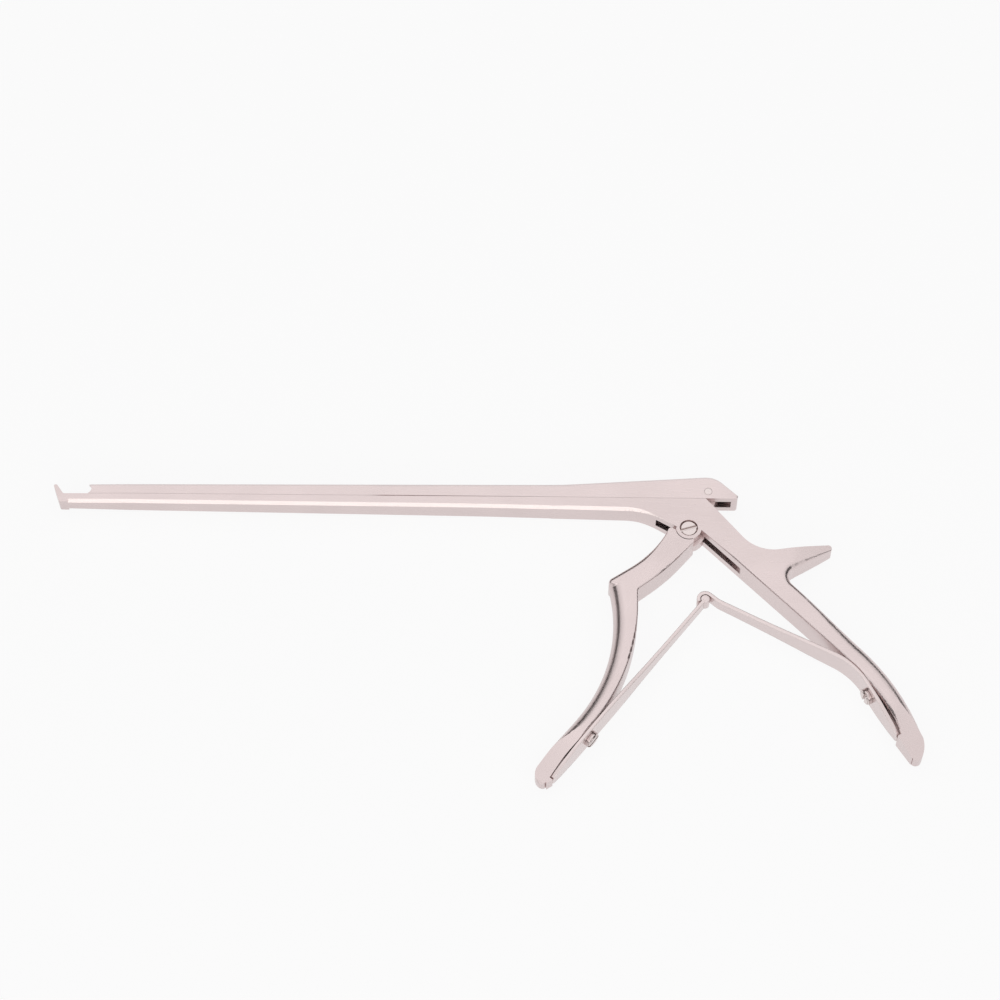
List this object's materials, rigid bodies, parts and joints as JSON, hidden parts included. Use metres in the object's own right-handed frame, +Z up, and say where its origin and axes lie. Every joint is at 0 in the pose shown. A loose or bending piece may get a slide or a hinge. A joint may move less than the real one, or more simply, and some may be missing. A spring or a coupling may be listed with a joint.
{
  "type": "bone rongeur",
  "caption": "Pistol-grip bone rongeur: a slide runs along a long slim shaft to an upturned footplate and bites as the sprung handles are squeezed.",
  "frame": {"origin": "on the axis of the handle pivot, in the plane of the side that the tool rests on", "axes": "+X along the shaft away from the jaw, +Y from the handles towards the slide, +Z up through the thickness"},
  "size_m": [0.2636, 0.1031, 0.01],
  "materials": {
    "steel": "fine satin",
    "spring_steel": "polished satin",
    "screw_steel": "bright satin"
  },
  "bodies": {
    "frame_body": {"frame": "steel", "pivot_screw": "screw_steel", "rear_spring_screw": "screw_steel"},
    "handle_body": {"front_handle": "steel", "front_spring_screw": "screw_steel"},
    "slide_body": {"slide": "steel", "drive_pin": "steel"},
    "front_leaf_body": {"front_leaf_spring": "spring_steel"},
    "rear_leaf_body": {"rear_leaf_spring": "spring_steel"}
  },
  "joints": [
    {"name": "squeeze", "type": "hinge", "parent": "frame_body", "child": "handle_body", "pos_m": [0, 0, 0.005], "axis": [0, 0, 1], "range_deg": [0, 31.5], "stiffness_Nm_per_rad": 0.8, "springref_deg": -20.05},
    {"name": "slide_travel", "type": "slide", "parent": "frame_body", "child": "slide_body", "axis": [-1, 0, 0], "range_m": [0, 0.0075]},
    {"name": "rear_leaf_bend", "type": "hinge", "parent": "frame_body", "child": "rear_leaf_body", "pos_m": [0.044, -0.0423, 0.005], "axis": [0, 0, 1], "range_deg": [-10.5, 0], "deforming": ["rear_leaf_spring"]},
    {"name": "front_leaf_bend", "type": "hinge", "parent": "handle_body", "child": "front_leaf_body", "pos_m": [-0.0235, -0.059, 0.005], "axis": [0, 0, 1], "range_deg": [0, 10.5], "deforming": ["front_leaf_spring"]}
  ],
  "couplings": [
    {"joint": "slide_travel", "follows": "squeeze", "m_per_rad": 0.01364},
    {"joint": "rear_leaf_bend", "follows": "squeeze", "ratio": -0.316},
    {"joint": "front_leaf_bend", "follows": "squeeze", "ratio": 0.318}
  ]
}
